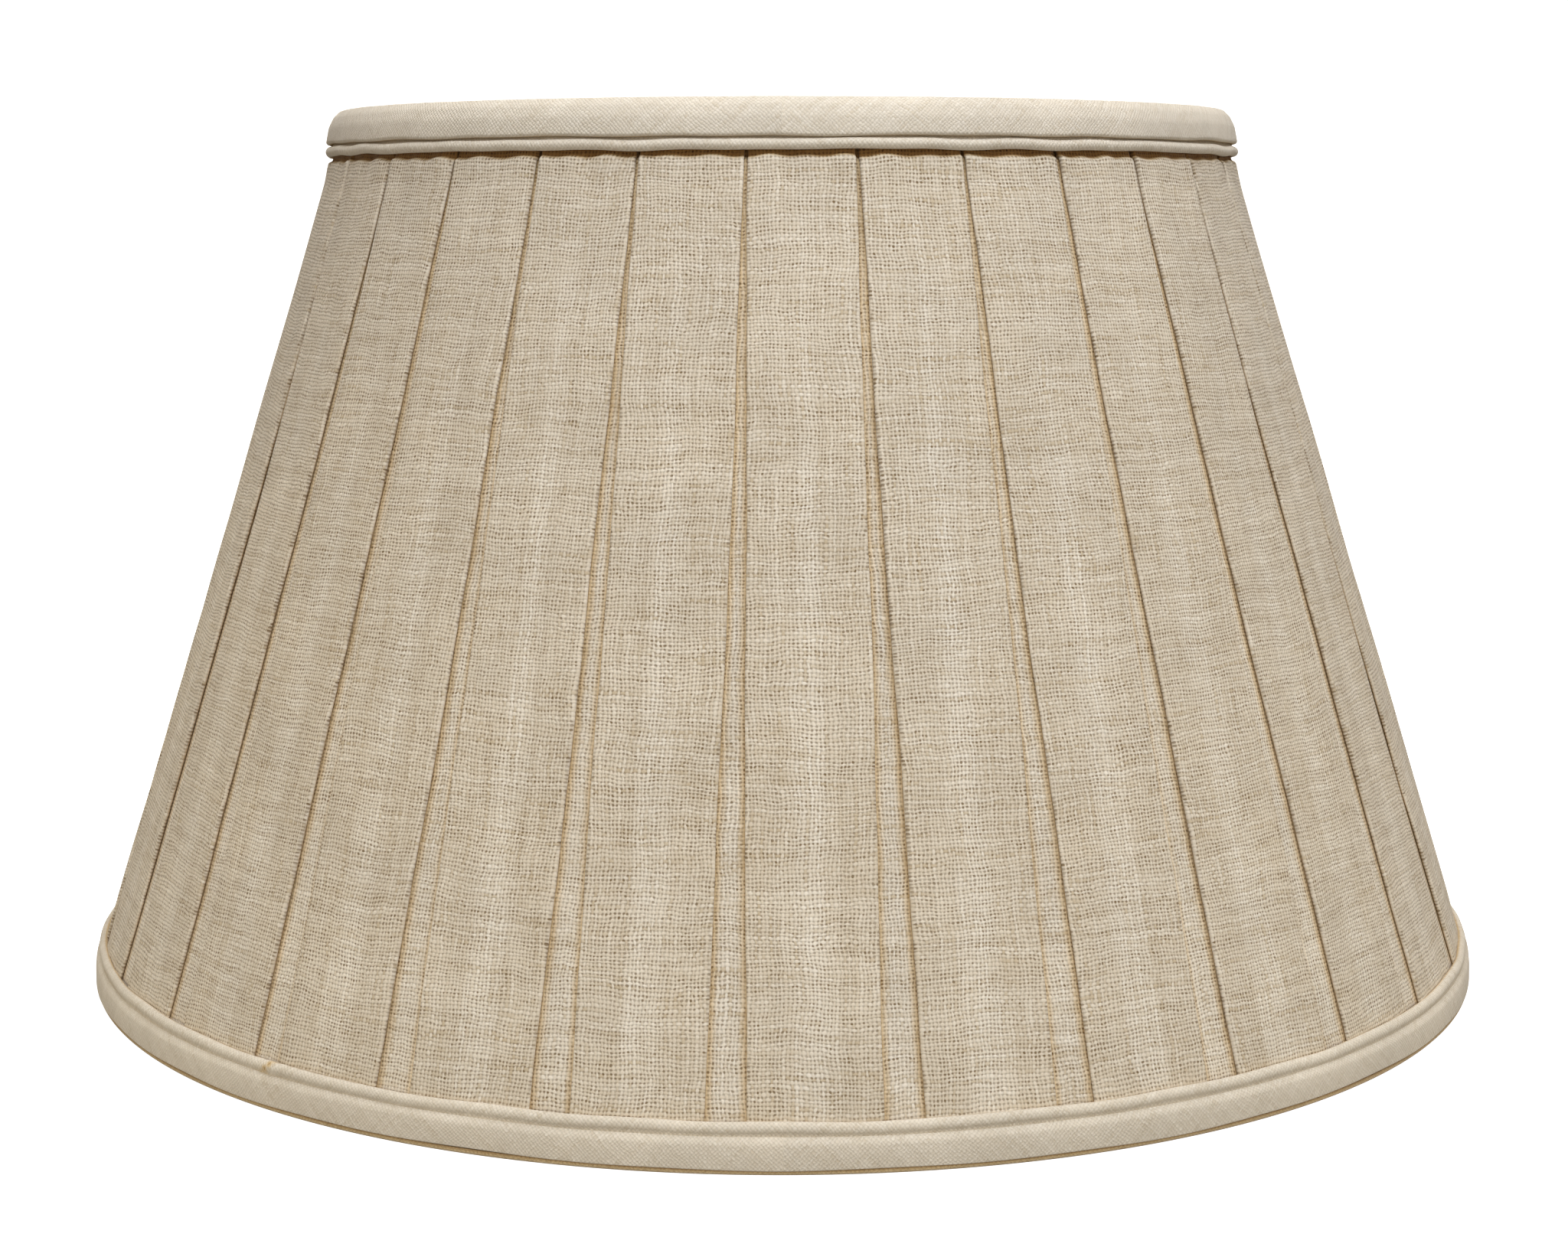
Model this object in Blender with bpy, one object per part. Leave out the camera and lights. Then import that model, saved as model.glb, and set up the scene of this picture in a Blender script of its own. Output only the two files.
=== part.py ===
"""Box-pleated linen lamp shade on a wire frame.

A ten-rib wire frame with a bound top and bottom ring carries a pleated linen cover
outside and a plain lining inside. A three-arm spider under the top ring holds the hub
that sits on a lamp's harp. Run it with: blender --background --python part.py

Units are metres and +Z is up. The shade stands on z = 0 with its axis on +Z and its
front towards -Y. The wall is a cone, so most sections are drawn in wall coordinates:
`up` runs along the slant from z = 0 and `out` points away from the panel faces.
"""
import math

import bmesh
import bpy
from mathutils import Matrix, Vector

# Shade body
HEIGHT = 0.2423
PANEL_BOTTOM_RADIUS = 0.2003
PANEL_TOP_RADIUS = 0.1232
PLEATS = 30
COVER_LENGTHS = 3
FIRST_SEAM_PLEAT = 5
FIRST_SLIT = math.radians(-15.85)
RECESS_ANGLE_BOTTOM = math.radians(3.06)
RECESS_ANGLE_TOP = math.radians(0.46)
CLOTH = 0.0006
PANEL_LAYERS = 3
HALF_PLEAT_POINTS = 3

# Wire frame
RIBS = 10
RIB_RADIUS = 0.00125
RING_WIRE_RADIUS = 0.0015
RING_SIDES = 6
RING_IN = 0.0042
TAPE_GAP = 0.0002
TAPE_THICKNESS = 0.0004
TAPE_OPENING = math.radians(66)
TAPE_ARC_STEPS = 4

# Trims, outside
BAND_THICKNESS = 0.001
BAND_ROUNDING = 0.0012
STRIP_LENGTHS = 2
STRIP_JOIN_PLEATS = 4
TOP_BAND_PROUD = 0.0026
TOP_BAND_DEPTH = 0.0103
TOP_BAND_REACH = 0.007
TOP_BEAD_DEPTH = 0.003
TOP_BEAD_PROUD = 0.0022
BOTTOM_BAND_PROUD = 0.0017
BOTTOM_BAND_FOOT = 0.0017
BOTTOM_BAND_DEPTH = 0.0075
BOTTOM_BEAD_DEPTH = 0.0029
BOTTOM_BEAD_PROUD = 0.0015
BEAD_SIDES = 6

# Lining and inner bindings
LINING_IN = 0.0066
LINING_THICKNESS = 0.0004
LINING_FOOT = 0.006
LINING_HEAD = 0.009
LINING_HALVES = 2
LINING_SEAM_RIB = 2
BINDING_IN = 0.0073
BINDING_THICKNESS = 0.0008
BINDING_DEPTH = 0.0135
HEM_LIP_RADIUS = 0.1988
HEM_LIP_HEIGHT = 0.0014
HEM_THICKNESS = 0.001

# Spider fitter
ARMS = 3
FIRST_ARM = FIRST_SLIT + math.radians(36)
ARM_RADIUS = 0.0016
ARM_FLAT_TO = 0.106
ARM_HUB_HEIGHT = 0.231
ARM_HUB_FLAT_TO = 0.026
ARM_INNER_END = 0.0105
ARM_BEND_STEPS = 6
HUB_SEGMENTS = 24
HUB_HOLE_RADIUS = 0.0056
HUB_BOSS_RADIUS = 0.0095
HUB_FLANGE_RADIUS = 0.014
HUB_PLATE = 0.0016
HUB_BOSS_OVER_ARMS = 0.0004
NEATENER_LENGTH = 0.0065
NEATENER_THICKNESS = 0.0006
NEATENER_STEPS = 6

# Shared by all pieces
GAP = 0.0003
TURN = 2 * math.pi
PITCH = TURN / PLEATS
SEGMENTS = 2 * PLEATS
SLANT = math.atan((PANEL_BOTTOM_RADIUS - PANEL_TOP_RADIUS) / HEIGHT)
COVER_THICKNESS = PANEL_LAYERS * CLOTH
FIRST_PANEL = FIRST_SLIT + PITCH / 2
TOP_EDGE_OUT = TOP_BAND_PROUD - BAND_THICKNESS
WALL_TOP = (HEIGHT - TOP_EDGE_OUT * math.sin(SLANT)) / math.cos(SLANT)
TAPE_RADIUS = RING_WIRE_RADIUS + TAPE_GAP + TAPE_THICKNESS


def wall(up, out):
    """Radius and height of a point given in wall coordinates."""
    radius = PANEL_BOTTOM_RADIUS - up * math.sin(SLANT) + out * math.cos(SLANT)
    return radius, up * math.cos(SLANT) + out * math.sin(SLANT)


def up_at(height, out):
    """Wall coordinate `up` of the point at this height and `out`."""
    return (height - out * math.sin(SLANT)) / math.cos(SLANT)


def heading(angle):
    """Horizontal unit vector at an angle from the front, turning towards +X."""
    return Vector((math.sin(angle), -math.cos(angle), 0))


def placed(angle, radius, height):
    """Point at an angle from the front, a radius from the axis and a height."""
    return heading(angle) * radius + Vector((0, 0, height))


def faceted(angle, radius, height):
    """Point on the side of the turned pieces' polygon, so that all facets nest."""
    half = TURN / SEGMENTS / 2
    past = (angle - FIRST_SLIT) % (2 * half) - half
    return placed(angle, radius * math.cos(half) / math.cos(past), height)


# The frame's fixed places
TOP_RING_UP = WALL_TOP - BAND_THICKNESS - GAP - TAPE_RADIUS
TOP_RING_RADIUS, TOP_RING_HEIGHT = wall(TOP_RING_UP, -RING_IN)
BOTTOM_RING_UP = up_at(HEM_THICKNESS + GAP + TAPE_RADIUS, -RING_IN)
BOTTOM_RING_RADIUS, BOTTOM_RING_HEIGHT = wall(BOTTOM_RING_UP, -RING_IN)
ARM_RING_HEIGHT = TOP_RING_HEIGHT - RING_WIRE_RADIUS - GAP - ARM_RADIUS
COVER_FOOT = BOTTOM_BAND_FOOT + CLOTH
COVER_HEAD = WALL_TOP - BAND_THICKNESS - GAP


def material(name, color, roughness, metallic=0.0):
    made = bpy.data.materials.new(name)
    made.diffuse_color = (*color, 1)
    made.use_nodes = True
    shader = made.node_tree.nodes["Principled BSDF"]
    shader.inputs["Base Color"].default_value = (*color, 1)
    shader.inputs["Roughness"].default_value = roughness
    shader.inputs["Metallic"].default_value = metallic
    return made


def add_object(name, data, finish):
    data.materials.append(finish)
    made = bpy.data.objects.new(name, data)
    bpy.context.collection.objects.link(made)
    return made


def mesh_object(name, bm, finish, smooth_under=math.radians(35)):
    """Finish a closed bmesh as a named object."""
    bmesh.ops.recalc_face_normals(bm, faces=bm.faces[:])
    mesh = bpy.data.meshes.new(name)
    bm.to_mesh(mesh)
    bm.free()
    mesh.shade_smooth()
    mesh.set_sharp_from_angle(angle=smooth_under)
    return add_object(name, mesh, finish)


def turned(name, profile, finish, segments=SEGMENTS):
    """Turn a closed profile of (radius, height) points once round the axis."""
    bm = bmesh.new()
    verts = [bm.verts.new(placed(FIRST_SLIT, *point)) for point in profile]
    edges = [bm.edges.new((verts[i - 1], verts[i])) for i in range(len(verts))]
    bmesh.ops.spin(
        bm, geom=verts + edges, axis=(0, 0, 1), cent=(0, 0, 0),
        angle=TURN, steps=segments, use_merge=True,
    )
    return mesh_object(name, bm, finish)


def turned_arc(name, profile, finish, start, sweep):
    """Turn a closed profile part of the way round, with both ends closed."""
    steps = round(SEGMENTS * sweep / TURN)
    bm = bmesh.new()
    face = bm.faces.new([bm.verts.new(placed(start, *point)) for point in profile])
    bmesh.ops.spin(
        bm, geom=[face], axis=(0, 0, 1), cent=(0, 0, 0),
        angle=sweep, steps=steps,
    )
    return mesh_object(name, bm, finish)


def turned_lengths(name, profile, finish, lengths, first_join):
    """Turn a profile right round in equal lengths that meet end to end."""
    sweep = TURN / lengths
    seam = GAP / max(radius for radius, height in profile)
    for i in range(lengths):
        start = first_join + i * sweep + seam / 2
        turned_arc(f"{name}_{i + 1}", profile, finish, start, sweep - seam)


def bias_strip(name, profile, finish):
    """Bias-cut strip, pieced from lengths whose joins face the sides."""
    first_join = FIRST_SLIT - STRIP_JOIN_PLEATS * PITCH
    turned_lengths(name, profile, finish, STRIP_LENGTHS, first_join)


def circle_profile(radius, height, wire_radius, sides):
    """Regular section of a ring wire."""
    corners = [TURN * i / sides for i in range(sides)]
    return [(radius + wire_radius * math.cos(a), height + wire_radius * math.sin(a))
            for a in corners]


def wire(name, points, wire_radius, finish):
    """Round wire along a poly line, with closed ends."""
    curve = bpy.data.curves.new(name, "CURVE")
    curve.dimensions = "3D"
    curve.bevel_depth = wire_radius
    curve.bevel_resolution = 2
    curve.use_fill_caps = True
    spline = curve.splines.new("POLY")
    spline.points.add(len(points) - 1)
    for spline_point, point in zip(spline.points, points):
        spline_point.co = (*point, 1)
    return add_object(name, curve, finish)


def make_rings(finish):
    for name, radius, height in (
        ("top_ring", TOP_RING_RADIUS, TOP_RING_HEIGHT),
        ("bottom_ring", BOTTOM_RING_RADIUS, BOTTOM_RING_HEIGHT),
    ):
        turned(name, circle_profile(radius, height, RING_WIRE_RADIUS, RING_SIDES), finish)


def tape_profile(radius, height, opening_heading):
    """Open sleeve round a ring wire, open where the ribs come in."""
    sweep = TURN - 2 * TAPE_OPENING
    angles = [opening_heading + TAPE_OPENING + sweep * i / TAPE_ARC_STEPS
              for i in range(TAPE_ARC_STEPS + 1)]
    inner = TAPE_RADIUS - TAPE_THICKNESS
    profile = [(radius + TAPE_RADIUS * math.cos(a), height + TAPE_RADIUS * math.sin(a))
               for a in angles]
    profile += [(radius + inner * math.cos(a), height + inner * math.sin(a))
                for a in reversed(angles)]
    return profile


def make_ring_tapes(finish):
    down_the_wall = SLANT - math.pi / 2
    up_the_wall = SLANT + math.pi / 2
    turned("top_ring_tape",
           tape_profile(TOP_RING_RADIUS, TOP_RING_HEIGHT, down_the_wall), finish)
    turned("bottom_ring_tape",
           tape_profile(BOTTOM_RING_RADIUS, BOTTOM_RING_HEIGHT, up_the_wall), finish)


def make_ribs(finish):
    """Straight ribs from ring to ring, each hidden behind a panel."""
    clear = RING_WIRE_RADIUS + GAP
    ends = (BOTTOM_RING_UP + clear, TOP_RING_UP - clear)
    for i in range(RIBS):
        angle = FIRST_PANEL + TURN * i / RIBS
        points = [placed(angle, *wall(up, -RING_IN)) for up in ends]
        wire(f"rib_{i + 1:02d}", points, RIB_RADIUS, finish)


def arm_path():
    """Radius and height along a spider arm, from under the ring to the hub."""
    drop = ARM_RING_HEIGHT - ARM_HUB_HEIGHT
    path = [(TOP_RING_RADIUS, ARM_RING_HEIGHT)]
    for i in range(ARM_BEND_STEPS + 1):
        part = i / ARM_BEND_STEPS
        radius = ARM_FLAT_TO + (ARM_HUB_FLAT_TO - ARM_FLAT_TO) * part
        path.append((radius, ARM_RING_HEIGHT - drop * (3 - 2 * part) * part * part))
    path.append((ARM_INNER_END, ARM_HUB_HEIGHT))
    return path


def arm_angle(i):
    return FIRST_ARM + TURN * i / ARMS


def make_spider(finish):
    for i in range(ARMS):
        points = [placed(arm_angle(i), *point) for point in arm_path()]
        wire(f"spider_arm_{i + 1}", points, ARM_RADIUS, finish)
    plate_top = ARM_HUB_HEIGHT - ARM_RADIUS - GAP
    plate_bottom = plate_top - HUB_PLATE
    boss_top = ARM_HUB_HEIGHT + ARM_RADIUS + HUB_BOSS_OVER_ARMS
    profile = [
        (HUB_HOLE_RADIUS, plate_bottom),
        (HUB_FLANGE_RADIUS, plate_bottom),
        (HUB_FLANGE_RADIUS, plate_top),
        (HUB_BOSS_RADIUS, plate_top),
        (HUB_BOSS_RADIUS, boss_top),
        (HUB_HOLE_RADIUS, boss_top),
    ]
    turned("spider_hub", profile, finish, HUB_SEGMENTS)


def recess_half(up):
    """Half the angle that the recess between two panels takes at this height."""
    part = (up - COVER_FOOT) / (COVER_HEAD - COVER_FOOT)
    return (RECESS_ANGLE_BOTTOM + (RECESS_ANGLE_TOP - RECESS_ANGLE_BOTTOM) * part) / 2


def pleat_columns(slit, up):
    """Outer points of one pleat at one height, from slit to slit, in turning order."""
    half = recess_half(up)
    recess = -(COVER_THICKNESS - CLOTH)
    outline = [
        (0, recess), (half, recess), (half, 0), (PITCH / 2, 0),
        (PITCH - half, 0), (PITCH - half, recess),
    ]
    return [faceted(slit + angle, *wall(up, out)) for angle, out in outline]


def make_cover_length(name, first_slit, finish):
    """One sewn length of the cover: panels three layers thick, recesses one."""
    pleats = PLEATS // COVER_LENGTHS
    rows = []
    for up in (COVER_FOOT, COVER_HEAD):
        outer = []
        for i in range(pleats):
            outer += pleat_columns(first_slit + i * PITCH, up)
        end = first_slit + pleats * PITCH
        outer.append(faceted(end, *wall(up, CLOTH - COVER_THICKNESS)))
        inner = [faceted(first_slit + i * PITCH / 2, *wall(up, -COVER_THICKNESS))
                 for i in range(2 * pleats + 1)]
        seam = heading(first_slit + math.pi / 2) * (GAP / 2)
        outer[0] += seam
        inner[0] += seam
        seam = heading(end + math.pi / 2) * (GAP / 2)
        outer[-1] -= seam
        inner[-1] -= seam
        rows.append((outer, inner))

    bm = bmesh.new()
    (low_out, low_in), (high_out, high_in) = [
        ([bm.verts.new(p) for p in outer], [bm.verts.new(p) for p in inner])
        for outer, inner in rows
    ]
    for low, high in ((low_out, high_out), (low_in, high_in)):
        for i in range(len(low) - 1):
            bm.faces.new((low[i], low[i + 1], high[i + 1], high[i]))
    for out_row, in_row in ((low_out, low_in), (high_out, high_in)):
        for i in range(len(in_row) - 1):
            rim = out_row[i * HALF_PLEAT_POINTS:(i + 1) * HALF_PLEAT_POINTS + 1]
            bm.faces.new(rim + [in_row[i + 1], in_row[i]])
    for i in (0, -1):
        bm.faces.new((low_out[i], high_out[i], high_in[i], low_in[i]))
    return mesh_object(name, bm, finish)


def make_cover(finish):
    for i in range(COVER_LENGTHS):
        first_slit = FIRST_SLIT + FIRST_SEAM_PLEAT * PITCH + TURN * i / COVER_LENGTHS
        make_cover_length(f"cover_length_{i + 1}", first_slit, finish)


def make_top_trim(finish):
    """Band folded over the top ring, with a covered cord below it."""
    foot = WALL_TOP - TOP_BAND_DEPTH
    band = [
        (WALL_TOP - BAND_THICKNESS, -TOP_BAND_REACH),
        (WALL_TOP - BAND_THICKNESS, GAP),
        (foot, GAP),
        (foot, TOP_BAND_PROUD - BAND_ROUNDING),
        (foot + BAND_ROUNDING, TOP_BAND_PROUD),
        (WALL_TOP - BAND_ROUNDING, TOP_BAND_PROUD),
        (WALL_TOP, TOP_BAND_PROUD - BAND_THICKNESS),
        (WALL_TOP, -TOP_BAND_REACH),
    ]
    bias_strip("top_trim_band", [wall(*point) for point in band], finish)
    turned("top_trim_piping",
           bead_profile(foot - GAP - TOP_BEAD_DEPTH, TOP_BEAD_DEPTH, TOP_BEAD_PROUD),
           finish)


def make_bottom_trim(finish):
    """Band round the bottom edge, with a covered cord above it."""
    head = BOTTOM_BAND_FOOT + BOTTOM_BAND_DEPTH
    band = [
        (BOTTOM_BAND_FOOT, GAP),
        (BOTTOM_BAND_FOOT, BOTTOM_BAND_PROUD - BAND_ROUNDING),
        (BOTTOM_BAND_FOOT + BAND_ROUNDING, BOTTOM_BAND_PROUD),
        (head - BAND_ROUNDING, BOTTOM_BAND_PROUD),
        (head, BOTTOM_BAND_PROUD - BAND_ROUNDING),
        (head, GAP),
    ]
    bias_strip("bottom_trim_band", [wall(*point) for point in band], finish)
    turned("bottom_trim_piping",
           bead_profile(head + GAP, BOTTOM_BEAD_DEPTH, BOTTOM_BEAD_PROUD), finish)


def bead_profile(foot, depth, proud):
    """Oval section of a covered cord lying on the panels."""
    corners = [TURN * (i + 0.5) / BEAD_SIDES for i in range(BEAD_SIDES)]
    flat = math.cos(math.pi / BEAD_SIDES)
    return [wall(foot + depth / 2 * (1 + math.sin(a)),
                 GAP + proud / 2 * (1 + math.cos(a) / flat)) for a in corners]


def make_lining(finish):
    inner = LINING_IN + LINING_THICKNESS
    head = WALL_TOP - LINING_HEAD
    section = [
        wall(LINING_FOOT, -LINING_IN),
        wall(head, -LINING_IN),
        wall(head, -inner),
        wall(LINING_FOOT, -inner),
    ]
    first_seam = FIRST_PANEL + TURN * LINING_SEAM_RIB / RIBS
    turned_lengths("lining_half", section, finish, LINING_HALVES, first_seam)


def make_inner_bindings(finish):
    """Bindings over the lining's raw edges; the lower one is also the shade's foot."""
    inner = BINDING_IN + BINDING_THICKNESS
    head = WALL_TOP - BAND_THICKNESS - GAP
    foot = WALL_TOP - BINDING_DEPTH
    top = turned("top_inner_binding", [
        wall(head, -inner), wall(head, -BINDING_IN),
        wall(foot, -BINDING_IN), wall(foot, -inner),
    ], finish)
    for i in range(ARMS):
        cut_arm_hole(top, arm_angle(i))

    hem_corner = up_at(HEM_THICKNESS, -BINDING_IN)
    bias_strip("bottom_inner_binding", [
        wall(up_at(0, -inner), -inner),
        (HEM_LIP_RADIUS - GAP, 0),
        (HEM_LIP_RADIUS, GAP),
        (HEM_LIP_RADIUS, HEM_LIP_HEIGHT),
        (HEM_LIP_RADIUS - HEM_THICKNESS, HEM_LIP_HEIGHT),
        (HEM_LIP_RADIUS - 2 * HEM_THICKNESS, HEM_THICKNESS),
        wall(hem_corner, -BINDING_IN),
        wall(BINDING_DEPTH, -BINDING_IN),
        wall(BINDING_DEPTH, -inner),
    ], finish)


def cut_arm_hole(binding, angle):
    """Round hole in the top binding where a spider arm passes."""
    bpy.ops.mesh.primitive_cylinder_add(
        vertices=12, radius=ARM_RADIUS + GAP, depth=0.01,
        location=placed(angle, TOP_RING_RADIUS - BINDING_IN / 2, ARM_RING_HEIGHT),
        rotation=(math.pi / 2, 0, angle),
    )
    cutter = bpy.context.object
    cutter.name = "arm_hole_cutter"
    cutter.hide_render = True
    cutter.display_type = "WIRE"
    cut = binding.modifiers.new("arm hole", "BOOLEAN")
    cut.operation = "DIFFERENCE"
    cut.object = cutter


def make_neateners(finish):
    """Folded strip cupped under each arm, hiding where it passes the binding."""
    inner = ARM_RADIUS + GAP
    outer = inner + NEATENER_THICKNESS
    below = [math.pi + math.pi * i / NEATENER_STEPS for i in range(NEATENER_STEPS + 1)]
    outline = [(-outer, ARM_RADIUS)]
    outline += [(outer * math.cos(a), outer * math.sin(a)) for a in below]
    outline += [(outer, ARM_RADIUS), (inner, ARM_RADIUS)]
    outline += [(inner * math.cos(a), inner * math.sin(a)) for a in reversed(below)]
    outline += [(-inner, ARM_RADIUS)]
    binding_face = -(BINDING_IN + BINDING_THICKNESS)
    arm_top = ARM_RING_HEIGHT + ARM_RADIUS
    start, _ = wall(up_at(arm_top, binding_face), binding_face)
    start -= GAP
    for i in range(ARMS):
        bm = bmesh.new()
        face = bm.faces.new([bm.verts.new((across, -start, ARM_RING_HEIGHT + up))
                             for across, up in outline])
        solid = bmesh.ops.extrude_face_region(bm, geom=[face], use_keep_orig=True)
        moved = [item for item in solid["geom"] if isinstance(item, bmesh.types.BMVert)]
        bmesh.ops.translate(bm, verts=moved, vec=(0, NEATENER_LENGTH, 0))
        bmesh.ops.transform(bm, verts=bm.verts[:],
                            matrix=Matrix.Rotation(arm_angle(i), 4, "Z"))
        mesh_object(f"arm_neatener_{i + 1}", bm, finish)


def clear_scene():
    for old in list(bpy.data.objects):
        bpy.data.objects.remove(old, do_unlink=True)


def main():
    clear_scene()
    steel = material("white_coated_steel", (0.72, 0.71, 0.68), 0.45, 0.6)
    brass = material("antique_brass", (0.62, 0.46, 0.22), 0.35, 1.0)
    tape = material("cotton_tape", (0.78, 0.75, 0.68), 0.95)
    linen = material("oatmeal_linen", (0.56, 0.48, 0.36), 0.95)
    linen_trim = material("oatmeal_linen_bias", (0.53, 0.45, 0.34), 0.95)
    lining = material("off_white_lining", (0.8, 0.77, 0.7), 0.8)

    make_rings(steel)
    make_ring_tapes(tape)
    make_ribs(steel)
    make_spider(brass)
    make_cover(linen)
    make_top_trim(linen_trim)
    make_bottom_trim(linen_trim)
    make_lining(lining)
    make_inner_bindings(linen_trim)
    make_neateners(lining)


main()
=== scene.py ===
"""Looks of a box-pleated linen lamp shade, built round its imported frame.

The cover is three lengths of linen folded into box pleats, with bias-cut bands and covered
cords at both edges. Inside are a plain lining, its bindings and a three-arm spider fitter.
Units are metres. Most sections are drawn in wall coordinates: `up` runs along the slant
from the floor and `out` points away from the panel faces.
"""
import math

import bmesh
import bpy
import numpy as np
from mathutils import Matrix, Vector


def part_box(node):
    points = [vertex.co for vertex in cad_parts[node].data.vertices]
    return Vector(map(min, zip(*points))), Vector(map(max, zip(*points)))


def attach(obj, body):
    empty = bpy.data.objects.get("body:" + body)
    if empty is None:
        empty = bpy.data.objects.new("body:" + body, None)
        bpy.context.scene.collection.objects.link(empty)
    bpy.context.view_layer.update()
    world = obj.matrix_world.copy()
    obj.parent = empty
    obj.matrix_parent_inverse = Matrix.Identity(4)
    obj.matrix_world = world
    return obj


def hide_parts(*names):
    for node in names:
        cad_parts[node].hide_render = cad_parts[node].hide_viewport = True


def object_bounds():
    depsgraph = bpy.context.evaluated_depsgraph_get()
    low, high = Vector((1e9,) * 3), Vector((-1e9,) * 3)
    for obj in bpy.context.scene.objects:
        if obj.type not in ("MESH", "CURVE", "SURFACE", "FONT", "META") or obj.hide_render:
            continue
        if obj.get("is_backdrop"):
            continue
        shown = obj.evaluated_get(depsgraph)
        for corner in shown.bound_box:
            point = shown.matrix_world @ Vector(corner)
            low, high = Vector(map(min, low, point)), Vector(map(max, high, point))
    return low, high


bl_info = {
    "name": "Pleated lamp shade",
    "version": (1, 0, 0),
    "blender": (4, 5, 0),
    "location": "3D View > Sidebar > Lamp shade",
    "description": "Makes the cloth, trims and fitter of a box-pleated lamp shade",
    "category": "Add Mesh",
}

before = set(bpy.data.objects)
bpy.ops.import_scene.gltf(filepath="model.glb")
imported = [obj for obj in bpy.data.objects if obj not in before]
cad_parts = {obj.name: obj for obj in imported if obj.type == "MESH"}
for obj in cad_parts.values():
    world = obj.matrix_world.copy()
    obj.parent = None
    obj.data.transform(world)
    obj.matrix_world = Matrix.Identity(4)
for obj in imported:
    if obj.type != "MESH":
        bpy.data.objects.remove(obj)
CAD_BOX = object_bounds()
HEIGHT = CAD_BOX[1][2]
TURN = 2 * math.pi
MM = 0.001

# The frame's driving sizes
PANEL_BOTTOM_RADIUS = 200.3 * MM
PANEL_TOP_RADIUS = 123.2 * MM
PLEATS = 30
COVER_LENGTHS = 3
PLEATS_PER_LENGTH = PLEATS // COVER_LENGTHS
FIRST_SEAM_PLEAT = 5
PITCH = TURN / PLEATS
FIRST_SLIT = math.radians(-15.85)
FIRST_PANEL = FIRST_SLIT + PITCH / 2
SLANT = math.atan((PANEL_BOTTOM_RADIUS - PANEL_TOP_RADIUS) / HEIGHT)
TOP_EDGE_OUT = 1.6 * MM
WALL_TOP = (HEIGHT - TOP_EDGE_OUT * math.sin(SLANT)) / math.cos(SLANT)
RECESS_ANGLE_BOTTOM = math.radians(3.06)
RECESS_ANGLE_TOP = math.radians(0.45)
RIBS = 10
ARMS = 3
FIRST_ARM = FIRST_SLIT + math.radians(36)
ARM_WIRE_RADIUS = 1.6 * MM

# Where the layers of cloth lie, measured out from the panel faces
BASE_OUT = -1.5 * MM
RETURN_OUT = -0.92 * MM
TOP_OUT = -0.3 * MM
BASE_SAG = 0.45 * MM
RETURN_SAG = 0.3 * MM
COVER_FOOT = 2.3 * MM
COVER_HEAD = WALL_TOP - 1.3 * MM
TOP_BAND_FOOT = WALL_TOP - 10.2 * MM
TOP_BEAD_UP = WALL_TOP - 11.95 * MM
BOTTOM_BEAD_UP = 10.85 * MM
LINING_OUT = -6.8 * MM
TUCK_DEPTH = 0.9 * MM
LINING_THICKNESS = 0.3 * MM
STRIP_THICKNESS = 0.4 * MM

# Tints that multiply the linen's colour, by layers of cloth, and painted light: a painted
# highlight on the edges of folds and painted shade that deepens into crevices and under the
# trims
PLAIN = (1, 1, 1, 1)
ONE_LAYER = (1.03, 1.035, 1.045, 1)
THREE_LAYERS = (0.955, 0.94, 0.915, 1)
FOLD_HIGHLIGHT = (1.10, 1.11, 1.12, 1)
SHADED_FOLD = (0.92, 0.76, 0.50, 1)
DEEP_SHADOW = (0.40, 0.24, 0.09, 1)
BIAS = math.radians(45)


def wall(up, out):
    """Radius and height of points given in wall coordinates."""
    radius = PANEL_BOTTOM_RADIUS - up * math.sin(SLANT) + out * math.cos(SLANT)
    return radius, up * math.cos(SLANT) + out * math.sin(SLANT)


def together(*parts):
    """Arrays of one coordinate each, stretched to one shape and put side by side."""
    return np.stack(np.broadcast_arrays(*parts), axis=-1)


def run_along(first, second):
    """Distance from the start of a line to each of its points."""
    return np.concatenate([[0], np.cumsum(np.hypot(np.diff(first), np.diff(second)))])


def on_circle(angle, radius, height):
    """Points at an angle from the front, turning towards +X."""
    return together(radius * np.sin(angle), -radius * np.cos(angle), height)


def on_wall(angle, up, out):
    return on_circle(angle, *wall(up, out))


def smooth(value):
    """Soft step from 0 to 1."""
    held = np.clip(value, 0, 1)
    return held * held * (3 - 2 * held)


def waves(angle, seed, cycles, height):
    """Gentle closed waves round the shade, their heights adding up to `height`."""
    draw = np.random.default_rng(seed)
    total = np.zeros_like(angle)
    for count in cycles:
        total += np.sin(count * angle + draw.uniform(0, TURN)) / len(cycles)
    return total * height


# ---------------------------------------------------------------- settings

class ShadeSizes(bpy.types.PropertyGroup):
    thread_pitch: bpy.props.FloatProperty(
        name="Thread pitch", description="Distance between neighbouring threads",
        default=0.95 * MM, unit="LENGTH", precision=5)
    cloth_thickness: bpy.props.FloatProperty(
        name="Linen thickness", description="Thickness of one layer of linen",
        default=0.45 * MM, unit="LENGTH", precision=5)
    underlay_bottom: bpy.props.FloatProperty(
        name="Underlay at the bottom", description="How far a pleat folds under its panel",
        default=10.6 * MM, unit="LENGTH", precision=5)
    underlay_top: bpy.props.FloatProperty(
        name="Underlay at the top", description="How far a pleat folds under its panel",
        default=12.3 * MM, unit="LENGTH", precision=5)
    fold_lift: bpy.props.FloatProperty(
        name="Fold lift", description="Most that a fold stands off between the trims",
        default=0.7 * MM, unit="LENGTH", precision=5)
    panel_ripple: bpy.props.FloatProperty(
        name="Panel ripple", description="Height of the soft ripples in a panel",
        default=0.22 * MM, unit="LENGTH", precision=5)


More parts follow.
